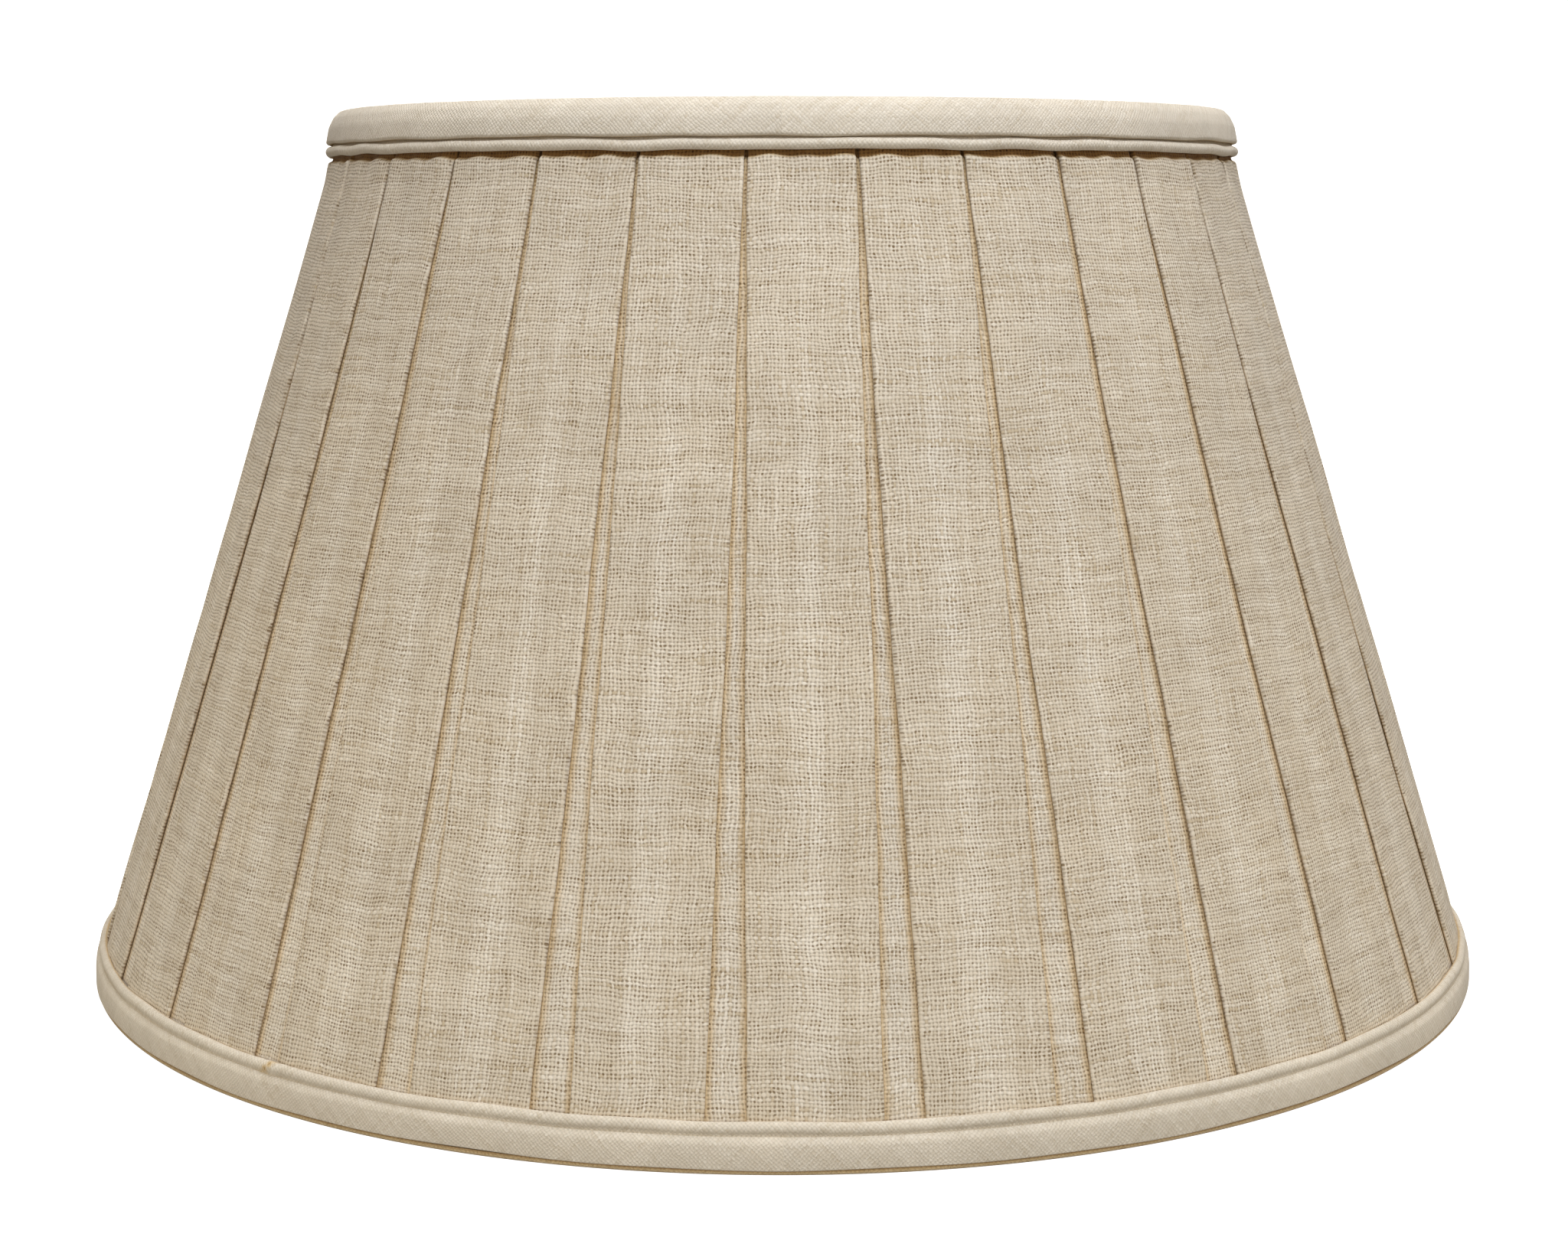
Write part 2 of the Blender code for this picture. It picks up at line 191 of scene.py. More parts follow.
class ShadeColours(bpy.types.PropertyGroup):
    linen_light: bpy.props.FloatVectorProperty(
        name="Linen, light threads", description="Colour of the palest threads",
        default=(0.70, 0.63, 0.515), subtype="COLOR", min=0, max=1)
    linen_dark: bpy.props.FloatVectorProperty(
        name="Linen, dark threads", description="Colour of the darkest threads",
        default=(0.52, 0.43, 0.30), subtype="COLOR", min=0, max=1)
    linen_gap: bpy.props.FloatVectorProperty(
        name="Linen, gaps", description="Colour seen between the threads",
        default=(0.19, 0.125, 0.06), subtype="COLOR", min=0, max=1)
    lining: bpy.props.FloatVectorProperty(
        name="Lining", description="Colour of the lining cloth",
        default=(0.80, 0.77, 0.70), subtype="COLOR", min=0, max=1)
    brass: bpy.props.FloatVectorProperty(
        name="Brass", description="Colour of the spider fitter",
        default=(0.60, 0.45, 0.22), subtype="COLOR", min=0, max=1)
    wire: bpy.props.FloatVectorProperty(
        name="Wire", description="Colour of the coated frame wire",
        default=(0.70, 0.69, 0.66), subtype="COLOR", min=0, max=1)
    floor: bpy.props.FloatVectorProperty(
        name="Floor", description="Colour of the floor and backdrop",
        default=(0.40, 0.39, 0.38), subtype="COLOR", min=0, max=1)


# ---------------------------------------------------------------- node helpers

class Tree:
    """Short ways to add nodes to a shader tree."""

    def __init__(self, nodes_owner):
        self.nodes = nodes_owner.nodes
        self.links = nodes_owner.links

    def add(self, kind, inputs=(), **settings):
        made = self.nodes.new(kind)
        for setting, value in settings.items():
            setattr(made, setting, value)
        self.feed(made, inputs)
        return made

    def feed(self, node, inputs):
        """Link sockets to a node's inputs, and set the inputs that are given values."""
        for socket, value in dict(inputs).items():
            if isinstance(value, bpy.types.NodeSocket):
                self.links.new(value, node.inputs[socket])
            else:
                node.inputs[socket].default_value = value

    def maths(self, operation, *values):
        return self.add("ShaderNodeMath", enumerate(values),
                        operation=operation).outputs[0]

    def blend(self, factor, first, second, mode="MIX"):
        inputs = {0: factor, 6: first, 7: second}
        made = self.add("ShaderNodeMix", inputs, data_type="RGBA", blend_type=mode)
        return made.outputs[2]

    def remap(self, value, low, high, to_low=0.0, to_high=1.0):
        inputs = {0: value, 1: low, 2: high, 3: to_low, 4: to_high}
        return self.add("ShaderNodeMapRange", inputs, clamp=True).outputs[0]

    def noise(self, vector, scale, detail=2.0, roughness=0.5, dimensions="3D"):
        inputs = {"Vector": vector, "Scale": scale, "Detail": detail,
                  "Roughness": roughness}
        return self.add("ShaderNodeTexNoise", inputs, noise_dimensions=dimensions)

    def white_noise(self, index, seed):
        """One random value for each whole number."""
        return self.add("ShaderNodeTexWhiteNoise", {"W": self.maths("ADD", index, seed)},
                        noise_dimensions="1D").outputs["Value"]

    def vector(self, x, y, z=0.0):
        return self.add("ShaderNodeCombineXYZ", {0: x, 1: y, 2: z}).outputs[0]

    def grey(self, value):
        return self.vector(value, value, value)

    def mark(self, name):
        """Value that a piece's mesh carries at its points."""
        return self.add("ShaderNodeAttribute", attribute_name=name).outputs["Fac"]

    def bump(self, height, strength, depth):
        return self.add("ShaderNodeBump", {
            "Strength": strength, "Distance": depth, "Height": height}).outputs[0]

    def finish(self, inputs):
        """Give the material's own shader its inputs."""
        self.feed(self.nodes["Principled BSDF"], inputs)


def new_group(name, inputs, outputs):
    """Shader node group with named sockets, and its input and output nodes."""
    group = bpy.data.node_groups.new(name, "ShaderNodeTree")
    for socket, kind, default in inputs:
        made = group.interface.new_socket(socket, in_out="INPUT", socket_type=kind)
        if default is not None:
            made.default_value = default
    for socket, kind in outputs:
        group.interface.new_socket(socket, in_out="OUTPUT", socket_type=kind)
    tree = Tree(group)
    return tree, tree.add("NodeGroupInput"), tree.add("NodeGroupOutput")


def woven_threads():
    """Plain weave: thread tone, the gaps between threads, and the surface's height."""
    number = "NodeSocketFloat"
    tree, given, result = new_group(
        "Woven threads",
        [("Vector", "NodeSocketVector", None), ("Thread pitch", number, 0.95 * MM),
         ("Drift", number, 1.0), ("Warp width", number, 0.72),
         ("Weft width", number, 0.86), ("Gap strength", number, 0.6)],
        [("Tone", number), ("Gaps", number), ("Height", number)])
    maths = tree.maths
    threads_per_metre = maths("DIVIDE", 1.0, given.outputs["Thread pitch"])
    spread = tree.add("ShaderNodeVectorMath", {
        0: given.outputs["Vector"], "Scale": threads_per_metre}, operation="SCALE")
    spread = spread.outputs[0]
    place = tree.add("ShaderNodeSeparateXYZ", {0: spread}).outputs
    x, y = place[0], place[1]
    # Threads drift slowly over the cloth and wobble a little from one to the next
    for scale, reach in (
            (0.03, maths("MULTIPLY", given.outputs["Drift"], 5.0)), (0.28, 1.1)):
        moves = tree.noise(spread, scale).outputs["Color"]
        moves = tree.add("ShaderNodeSeparateColor", {0: moves}).outputs
        x = maths("MULTIPLY_ADD", moves[0], reach, x)
        y = maths("MULTIPLY_ADD", moves[1], reach, y)

    column, row = maths("FLOOR", x), maths("FLOOR", y)
    across_x = maths("SUBTRACT", maths("FRACT", x), 0.5)
    across_y = maths("SUBTRACT", maths("FRACT", y), 0.5)

    def thread_tone(index, along, seed):
        """Even shade of one thread, with darker and paler slubs along it."""
        stretched = tree.vector(maths("MULTIPLY", index, 7.31),
                                maths("MULTIPLY_ADD", along, 0.045, seed))
        slub = tree.noise(stretched, 1.0, detail=3.0, roughness=0.65, dimensions="2D")
        slub = slub.outputs[0]
        dark = tree.remap(slub, 0.56, 0.74, 0.0, -0.75)
        pale = tree.remap(slub, 0.46, 0.28, 0.0, 0.5)
        base = maths("MULTIPLY_ADD", tree.white_noise(index, seed), 0.36, 0.44)
        return maths("ADD", base, maths("ADD", dark, pale))

    warp_tone = thread_tone(column, y, 3.7)
    weft_tone = thread_tone(row, x, 91.3)

    def roundness(across, index, seed, width):
        """Rounding across one thread, whose width is a little off the others'."""
        uneven = maths("MULTIPLY_ADD", tree.white_noise(index, seed), 0.36, 0.82)
        part = maths("DIVIDE", maths("MULTIPLY", across, 2.0),
                     maths("MULTIPLY", width, uneven))
        rest = maths("SUBTRACT", 1.0, maths("MULTIPLY", part, part))
        return maths("SQRT", maths("MAXIMUM", rest, 0.0))

    warp_round = roundness(across_x, column, 17.9, given.outputs["Warp width"])
    weft_round = roundness(across_y, row, 55.2, given.outputs["Weft width"])
    parity = maths("MODULO", maths("ABSOLUTE", maths("ADD", column, row)), 2.0)
    over = maths("MULTIPLY_ADD", parity, 2.0, -1.0)

    def rise(across, side):
        swell = maths("COSINE", maths("MULTIPLY", across, math.pi))
        swell = maths("MULTIPLY", swell, maths("MULTIPLY", over, 0.45 * side))
        return maths("ADD", swell, 0.55)

    warp_height = maths("MULTIPLY", warp_round, rise(across_y, 1))
    weft_height = maths("MULTIPLY", weft_round, rise(across_x, -1))
    warp_shows = maths("GREATER_THAN", warp_height, weft_height)
    tone = tree.add("ShaderNodeMix", {0: warp_shows, 2: weft_tone, 3: warp_tone})
    corner = tree.vector(maths("FLOOR", maths("ADD", x, 0.5)),
                         maths("FLOOR", maths("ADD", y, 0.5)))
    depth = tree.add("ShaderNodeTexWhiteNoise", {"Vector": corner},
                     noise_dimensions="2D").outputs["Value"]
    rows = tree.vector(maths("MULTIPLY", x, 0.09), maths("MULTIPLY", y, 0.3))
    patches = tree.noise(rows, 1.0, 3.0, 0.6, "2D").outputs[0]
    patches = tree.remap(patches, 0.35, 0.65, 0.55, 1.0)
    depth = maths("MULTIPLY", maths("MULTIPLY_ADD", depth, 0.65, 0.35), patches)
    depth = maths("MULTIPLY", depth, given.outputs["Gap strength"])
    gaps = maths("MULTIPLY", maths("SUBTRACT", 1.0, warp_round),
                 maths("SUBTRACT", 1.0, weft_round))
    gaps = maths("MULTIPLY", tree.remap(gaps, 0.01, 0.25), depth)
    height = maths("MAXIMUM", warp_height, weft_height)
    tree.feed(result, {"Tone": tone.outputs[0], "Gaps": gaps, "Height": height})


def new_material(name):
    made = bpy.data.materials.new(name)
    made.use_nodes = True
    return Tree(made.node_tree)


def use_woven(tree, turn, inputs):
    """Woven group on the piece's own cloth coordinates, turned for a bias cut."""
    cloth = tree.add("ShaderNodeUVMap", uv_map="cloth").outputs[0]
    turned = tree.add("ShaderNodeMapping", {
        "Vector": cloth, "Rotation": (0, 0, turn)}).outputs[0]
    woven = tree.add("ShaderNodeGroup", node_tree=bpy.data.node_groups["Woven threads"])
    tree.feed(woven, {"Vector": turned, **inputs})
    return turned, woven.outputs


def linen_material(name, turn=0.0, pleated=False, shade=1.0, gaps=0.12, relief=0.93,
                   contrast=0.6, pitch=0.75 * MM):
    """Slubbed natural linen. Pleated linen is paler where one layer lies on the lining."""
    colours = bpy.context.scene.shade_colours
    tree = new_material(name)
    cloth, woven = use_woven(
        tree, turn, {"Thread pitch": pitch, "Drift": 1.0, "Gap strength": gaps})
    light = [part * shade for part in colours.linen_light]
    dark = [pale * (1 - contrast) + part * shade * contrast
            for pale, part in zip(light, colours.linen_dark)]
    colour = tree.blend(woven["Tone"], (*dark, 1), (*light, 1))
    mottle = tree.noise(cloth, 38.0, detail=4.0, roughness=0.6).outputs[0]
    mottle = tree.remap(mottle, 0.3, 0.7, 0.93, 1.06)
    colour = tree.blend(1.0, colour, tree.grey(mottle), "MULTIPLY")
    # Painted shade and highlight on every thread: its crown paler, its sides darker, set by
    # the weave's height.
    thread = tree.remap(woven["Height"], 0.1, 0.85, relief, 1.05)
    colour = tree.blend(1.0, colour, tree.grey(thread), "MULTIPLY")
    colour = tree.blend(woven["Gaps"], colour, (*colours.linen_gap, 1))
    if pleated:
        layers = tree.blend(tree.mark("layers"), ONE_LAYER, THREE_LAYERS)
        colour = tree.blend(1.0, colour, layers, "MULTIPLY")
    # Painted light from the mark read here: below 0 a painted highlight on fold edges, from
    # 0 up a painted shade going from golden to deep brown in crevices and under the trims.
    depth = tree.mark("painted_shading")
    tint = tree.blend(tree.remap(depth, -0.3, 0.0), FOLD_HIGHLIGHT, PLAIN)
    tint = tree.blend(tree.remap(depth, 0.0, 0.6), tint, SHADED_FOLD)
    tint = tree.blend(tree.remap(depth, 0.6, 1.0), tint, DEEP_SHADOW)
    colour = tree.blend(1.0, colour, tint, "MULTIPLY")
    tree.finish({
        "Base Color": colour,
        "Roughness": tree.remap(woven["Tone"], 0.0, 1.0, 0.98, 0.86),
        "Normal": tree.bump(woven["Height"], 0.5, 0.25 * MM),
        "Specular IOR Level": 0.25, "Sheen Weight": 0.12, "Sheen Roughness": 0.5})


def lining_material():
    """Fine off-white cloth with a faint weave and soft creases."""
    colours = bpy.context.scene.shade_colours
    tree = new_material("lining_cloth")
    cloth, woven = use_woven(tree, 0.0, {"Thread pitch": 0.45 * MM, "Drift": 0.4})
    pale = [min(1, part * 1.04) for part in colours.lining]
    dull = [part * 0.93 for part in colours.lining]
    colour = tree.blend(woven["Tone"], (*dull, 1), (*pale, 1))
    crease = tree.noise(cloth, 60.0, detail=3.0).outputs[0]
    height = tree.maths("MULTIPLY_ADD", crease, 2.0, woven["Height"])
    tree.finish({
        "Base Color": colour,
        "Roughness": tree.remap(woven["Tone"], 0.0, 1.0, 0.75, 0.6),
        "Normal": tree.bump(height, 0.3, 0.12 * MM), "Sheen Weight": 0.2})


def metal_material(name, colour, metallic, roughness):
    """Plated or coated wire with fine drawing lines and slight tarnish."""
    tree = new_material(name)
    place = tree.add("ShaderNodeTexCoord").outputs["Object"]
    stain = tree.noise(place, 90.0, detail=5.0, roughness=0.65).outputs[0]
    stain = tree.remap(stain, 0.35, 0.72)
    tarnish_and_highlight = [part * 0.62 for part in colour]
    tint = tree.blend(tree.maths("MULTIPLY", stain, 0.5), (*colour, 1), (*tarnish_and_highlight, 1))
    fine = tree.noise(place, 2600.0).outputs[0]
    tree.finish({
        "Base Color": tint, "Metallic": metallic,
        "Roughness": tree.remap(stain, 0.0, 1.0, roughness, roughness + 0.22),
        "Normal": tree.bump(fine, 0.15, 0.05 * MM)})


def tape_material():
    """Coarse cotton tape."""
    tree = new_material("ring_tape")
    place = tree.add("ShaderNodeTexCoord").outputs["Object"]
    weave = tree.noise(place, 1400.0).outputs[0]
    colour = tree.blend(weave, (0.62, 0.58, 0.5, 1), (0.84, 0.82, 0.76, 1))
    tree.finish({"Base Color": colour, "Roughness": 0.95,
                 "Normal": tree.bump(weave, 0.4, 0.1 * MM)})


# ---------------------------------------------------------------- mesh helpers

def grid_mesh(name, points, cloth, marks=None, round_rows=False, round_columns=False):
    """Mesh from a grid of points. `cloth` holds its UVs, one column or row more
    than the points where the grid closes on itself."""
    rows, columns = points.shape[:2]
    row_steps = rows if round_rows else rows - 1
    column_steps = columns if round_columns else columns - 1
    row, column = np.meshgrid(np.arange(row_steps), np.arange(column_steps),
                              indexing="ij")
    corners = [(row, column), (row, column + 1), (row + 1, column + 1), (row + 1, column)]
    faces = np.stack([(r % rows) * columns + c % columns for r, c in corners], axis=-1)
    coords = np.stack([cloth[r, c] for r, c in corners], axis=-2)
    mesh = bpy.data.meshes.new(name)
    mesh.from_pydata(points.reshape(-1, 3).tolist(), [], faces.reshape(-1, 4).tolist())
    layer = mesh.uv_layers.new(name="cloth")
    layer.data.foreach_set("uv", coords.reshape(-1).astype(np.float32))
    for mark, values in (marks or {}).items():
        attribute = mesh.attributes.new(mark, "FLOAT", "POINT")
        attribute.data.foreach_set("value", values.reshape(-1).astype(np.float32))
    mesh.shade_smooth()
    made = bpy.data.objects.new(name, mesh)
    bpy.context.collection.objects.link(made)
    return made


def select_only(piece):
    for other in bpy.context.selected_objects:
        other.select_set(False)
    piece.select_set(True)
    bpy.context.view_layer.objects.active = piece


def modify(piece, kind, **settings):
    """Add a modifier to a piece and apply it."""
    select_only(piece)
    made = piece.modifiers.new(kind.lower(), kind)
    for setting, value in settings.items():
        setattr(made, setting, value)
    bpy.ops.object.modifier_apply(modifier=made.name)


def thicken(piece, thickness):
    """Give a sheet its thickness, half to each side."""
    modify(piece, "SOLIDIFY", thickness=thickness, offset=0.0)


def ease_metal(piece, segments):
    """Close up a metal piece's shading: eased edges, place in the mesh, smooth curves."""
    modify(piece, "BEVEL", width=0.3 * MM, segments=segments, limit_method="ANGLE")
    bpy.ops.object.transform_apply(location=True, rotation=True, scale=True)
    bpy.ops.object.shade_smooth_by_angle(angle=math.radians(35))


def finish_piece(piece, material_name, replaced):
    """Material, body and the CAD nodes that the piece stands for."""
    piece.data.materials.clear()
    piece.data.materials.append(bpy.data.materials[material_name])
    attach(piece, "root")
    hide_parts(*replaced)


def rounded(corners, steps=4):
    """Closed outline from (up, out, radius) corners, each rounded by an arc."""
    outline = []
    points = [Vector(corner[:2]) for corner in corners]
    for i, (point, corner) in enumerate(zip(points, corners)):
        back = (points[i - 1] - point).normalized()
        ahead = (points[(i + 1) % len(points)] - point).normalized()
        half = back.angle(ahead) / 2
        reach = corner[2] / math.tan(half)
        middle = point + (back + ahead).normalized() * corner[2] / math.sin(half)
        first = point + back * reach - middle
        last = point + ahead * reach - middle
        sweep = math.atan2(first.x * last.y - first.y * last.x, first.dot(last))
        for step in range(steps + 1):
            turn = Matrix.Rotation(sweep * step / steps, 2)
            outline.append(middle + turn @ first)
    return np.array(outline)


def ring_piece(name, outline, segments, shift, painted_shading=0.0):
    """Closed ring of cloth. outline is a closed (up, out) loop, shift gives the moves
    of a loop point at an angle as (up, out), and the last argument the painted shade of
    each point."""
    angles = np.linspace(0, TURN, segments, endpoint=False)[:, None]
    up, out = (np.broadcast_to(part, (segments, len(outline))) for part in outline.T)
    up_by, out_by = shift(angles, up, out)
    points = on_wall(angles, up + up_by, out + out_by)
    along = run_along(*np.vstack([outline, outline[:1]]).T)
    length = TURN * wall(outline[:, 0].mean(), outline[:, 1].mean())[0]
    ring = np.arange(segments + 1) / segments * length
    cloth = together(ring[:, None], along)
    marks = {"painted_shading": np.broadcast_to(painted_shading, up.shape)}
    made = grid_mesh(name, points, cloth, marks, True, True)
    return made, length, along[-1]


# ---------------------------------------------------------------- pleated cover

class Pleating:
    """Random character of each pleat, drawn once so that the lengths agree."""

    # Parts of the way across a recess, and under a panel to the inner fold
    RECESS_STEPS = (0, 0.3, 0.55, 0.8, 1.0)
    UNDERLAY_STEPS = (0.12, 0.45, 0.8, 1.0)
    # How far a panel's face drops over a single layer, at the foot and midway up, and
    # how far it swells where the top bead's stitches gather it
    SINGLE_DROP = 0.22 * MM
    FOOT_DROP = 0.25 * MM
    MIDWAY_DROP = 0.6 * MM
    GATHER_SWELL = 0.7 * MM

    def __init__(self, sizes):
        draw = np.random.default_rng(2024)
        self.sizes = sizes
        self.lift = draw.uniform(0.2, 1.0, (PLEATS, 2)) * sizes.fold_lift
        self.peak = draw.uniform(0.35, 0.62, (PLEATS, 2))
        self.waver = draw.uniform(0, TURN, (PLEATS, 2, 3))
        self.ripple = draw.uniform(0, 1, (PLEATS, 5, 4))
        self.pucker = draw.uniform(0, 1, (PLEATS, 4))
        # Rows from foot to head, closest where the cloth gathers under the top bead
        self.ups = np.array([COVER_FOOT])
        for end, rows in ((16 * MM, 5), (TOP_BEAD_UP - 16 * MM, 37),
                          (TOP_BEAD_UP - 5 * MM, 9), (TOP_BEAD_UP, 12), (COVER_HEAD, 2)):
            more = np.linspace(self.ups[-1], end, rows + 1)[1:]
            self.ups = np.concatenate([self.ups, more])
        self.part = (self.ups - COVER_FOOT) / (COVER_HEAD - COVER_FOOT)
        radius = wall(self.ups, 0.0)[0]
        recess = RECESS_ANGLE_BOTTOM + (RECESS_ANGLE_TOP - RECESS_ANGLE_BOTTOM) * self.part
        self.radius = radius
        self.pitch = radius * PITCH
        self.panel = radius * (PITCH - recess)
        self.underlay = (sizes.underlay_bottom
                         + (sizes.underlay_top - sizes.underlay_bottom) * self.part)
        self.width = float((self.pitch + 4 * self.underlay).mean())
        self.puff = np.sin(math.pi * np.clip(self.part, 0, 1)) ** 0.7
        self.base = BASE_OUT - BASE_SAG * self.puff
        self.back = RETURN_OUT - RETURN_SAG * self.puff

    def edge(self, pleat, side):
        """Half-width of a panel and its fold's lift, at every row, on one side."""
        peak = self.peak[pleat, side]
        bow = np.where(self.part < peak, self.part / peak, (1 - self.part) / (1 - peak))
        bow = np.sin(np.clip(bow, 0, 1) * math.pi / 2) ** 0.8
        waver = sum(np.sin(self.ups / length + phase) * height
                    for length, height, phase in zip(
                        (0.021, 0.009, 0.0045), (0.16 * MM, 0.08 * MM, 0.05 * MM),
                        self.waver[pleat, side]))
        ends = np.clip(np.minimum(self.part, 1 - self.part) * 12, 0, 1)
        return self.panel / 2 + waver * ends, bow * self.lift[pleat, side]

    def panel_out(self, pleat, x, lifts, half):
        """How far the panel's face stands out at x from its middle, at every row."""
        left = np.clip(0.5 - x / (2 * half), 0, 1) ** 3
        right = np.clip(0.5 + x / (2 * half), 0, 1) ** 3
        out = TOP_OUT + lifts[0] * left + lifts[1] * right
        single = 1 - smooth((np.abs(x) - (half - self.underlay) + 1.5 * MM) / (3 * MM))
        out = out - self.SINGLE_DROP * single * self.single_layer(half)
        for wide, tall, phase, strength in self.ripple[pleat]:
            across = TURN / ((7 + 12 * wide) * MM)
            along = TURN / ((60 + 150 * tall) * MM)
            lean = 1 if wide > 0.5 else -1
            out = out + (self.sizes.panel_ripple * (0.25 + 0.75 * strength) / 2
                         * np.sin(across * x + lean * along * self.ups + TURN * phase)
                         * np.cos(along * self.ups * 0.7 + 5 * phase))
        out = out - self.FOOT_DROP * (1 - smooth((self.ups - 11 * MM) / (12 * MM)))
        out = out - self.MIDWAY_DROP * self.puff
        gather, shoulder = self.gathering(pleat, x)
        swell = np.exp(-np.minimum(self.ups - shoulder, 0) ** 2 / (4 * MM) ** 2)
        return out + self.GATHER_SWELL * gather * swell

    def single_layer(self, half):
        """1 where the pleats' folds leave a panel's middle with one layer, 0 where not."""
        return smooth((half - self.underlay) / (3 * MM))

    def gathering(self, pleat, x):
        """Uneven pull of the cord's stitches across a panel, and where the cloth dips."""
        a, b, c, d = self.pucker[pleat]
        gather = (0.4 + 0.3 * np.sin(TURN * x / ((8 + 4 * a) * MM) + TURN * b)
                  + 0.2 * np.sin(TURN * x / ((14 + 5 * c) * MM) + TURN * d))
        return gather, TOP_BEAD_UP - (3.6 - 0.6 * gather) * MM

    def half_path(self, pleat, side):
        """Points from a recess's middle to the panel's middle on one side, as lists of
        x (0 at the panel's middle, outwards), out, cloth, layers and painted shading:
        painted shade above 0, a painted highlight below."""
        halves, lifts = zip(self.edge(pleat, 0), self.edge(pleat, 1))
        half = halves[side]
        sign = (-1, 1)[side]
        base, back = self.base, self.back
        points = []

        def put(x, out, cloth, layers, painted_shading):
            shoulder = self.gathering(pleat, sign * x)[1]
            # Under the top bead the cloth tucks in, and the tuck also paints the deep shade
            # that the bead casts there.
            tuck = smooth((self.ups - shoulder) / (1.0 * MM))
            points.append(np.broadcast_arrays(
                x, out - TUCK_DEPTH * tuck, cloth, layers, np.maximum(painted_shading, tuck)))

        recess = self.pitch / 2 - half
        for part in self.RECESS_STEPS:
            x = self.pitch / 2 - recess * part
            # Painted shade on the recess, deepest beside the panel's fold.
            near = 1 - smooth((x - half) / (2.4 * MM))
            put(x, base, self.width / 2 - recess * part, 0, 0.55 * near)
        inner = half - self.underlay
        # The cloth under the panel carries painted shade, seen only through the slits.
        for part in self.UNDERLAY_STEPS:
            x = half - self.underlay * part
            cloth = self.width / 2 - recess - self.underlay * part
            put(x, base, cloth, 0, 0.7)

        curl = (back - base) / 2
        edge_out = self.panel_out(pleat, sign * half, lifts, half)
        radius = np.maximum((edge_out - back) / 2, 0.2 * MM)
        middle = edge_out - radius
        fold_x = half - radius
        end_cloth = self.width / 2 - recess - self.underlay
        start_cloth = half + radius * 0.57
        # The inner fold and the cloth rising back to the panel carry painted shade too.
        for turn in (-0.4, 0.0, 0.4):
            put(inner - curl * math.cos(turn * math.pi),
                base + curl * (1 + math.sin(turn * math.pi)), end_cloth, 0, 0.6)
        for part in (0.06, 0.35, 0.65, 0.94):
            x = inner + (fold_x - inner) * part
            rise = smooth(part)
            out = (base + 2 * curl) * (1 - rise) + (middle - radius) * rise
            cloth = end_cloth + (start_cloth - end_cloth) * part
            put(x, out, cloth, 0, 0.6)
        # Round the outer fold: painted shade on its underside, fading to a painted
        # highlight over its top.
        for turn in (-0.42, -0.25, -0.05, 0.16, 0.34):
            put(fold_x + radius * math.cos(turn * math.pi),
                middle + radius * math.sin(turn * math.pi),
                fold_x + radius * (0.5 - turn) * math.pi * 0.5,
                1, 0.9 * smooth((0.12 - turn) / 0.5) - 0.3)
        for part in (0, 0.07, 0.16, 0.27, 0.38, 0.5, 0.62, 0.74, 0.87, 1.0):
            x = fold_x * (1 - part)
            layers = smooth((x - inner + 1.2 * MM) / (2.4 * MM))
            layers = 1 - (1 - layers) * self.single_layer(half)
            # Painted highlight on the panel's face beside the fold's edge.
            tarnish_and_highlight = -0.3 * (1 - smooth((fold_x - x) / (1.6 * MM)))
            put(x, self.panel_out(pleat, sign * x, lifts, half), x, layers, tarnish_and_highlight)
        return np.array(points)

    def length_columns(self, first):
        """Every column of one cover length, from inner fold to inner fold."""
        columns = []
        for step in range(PLEATS_PER_LENGTH + 1):
            pleat = (first + step) % PLEATS
            angle = FIRST_PANEL + (first + step) * PITCH
            middle = (step + 0.5) * self.width
            left = self.half_path(pleat, 0)
            right = self.half_path(pleat, 1)
            base_points = len(self.RECESS_STEPS) + len(self.UNDERLAY_STEPS)
            parts = []
            if step > 0:
                parts.append((left[:base_points], -1))
            if step < PLEATS_PER_LENGTH:
                parts.append((left[base_points:], -1))
                parts.append((right[-2::-1], 1))
            for path, sign in parts:
                for x, out, cloth, layers, painted_shading in path:
                    columns.append((angle + sign * x / self.radius, out,
                                    middle + sign * cloth, layers, painted_shading))
        return np.array(columns)


class SHADE_OT_cover(bpy.types.Operator):
    """Fold the three lengths of linen into box pleats"""
    bl_idname = "shade.cover"
    bl_label = "Pleated cover"

    def execute(self, context):
        pleating = Pleating(context.scene.shade_sizes)
        ups = pleating.ups[:, None]
        for i in range(COVER_LENGTHS):
            columns = pleating.length_columns(FIRST_SEAM_PLEAT + i * PLEATS_PER_LENGTH)
            angle, out, cloth, layers, painted_shading = columns.transpose(1, 2, 0)
            piece = grid_mesh(f"cover_linen_{i + 1}", on_wall(angle, ups, out),
                              together(cloth, ups),
                              {"layers": layers, "painted_shading": painted_shading})
            thicken(piece, context.scene.shade_sizes.cloth_thickness)
            finish_piece(piece, "pleated_linen", [f"cover_length_{i + 1}"])
        return {"FINISHED"}


# ---------------------------------------------------------------- trims

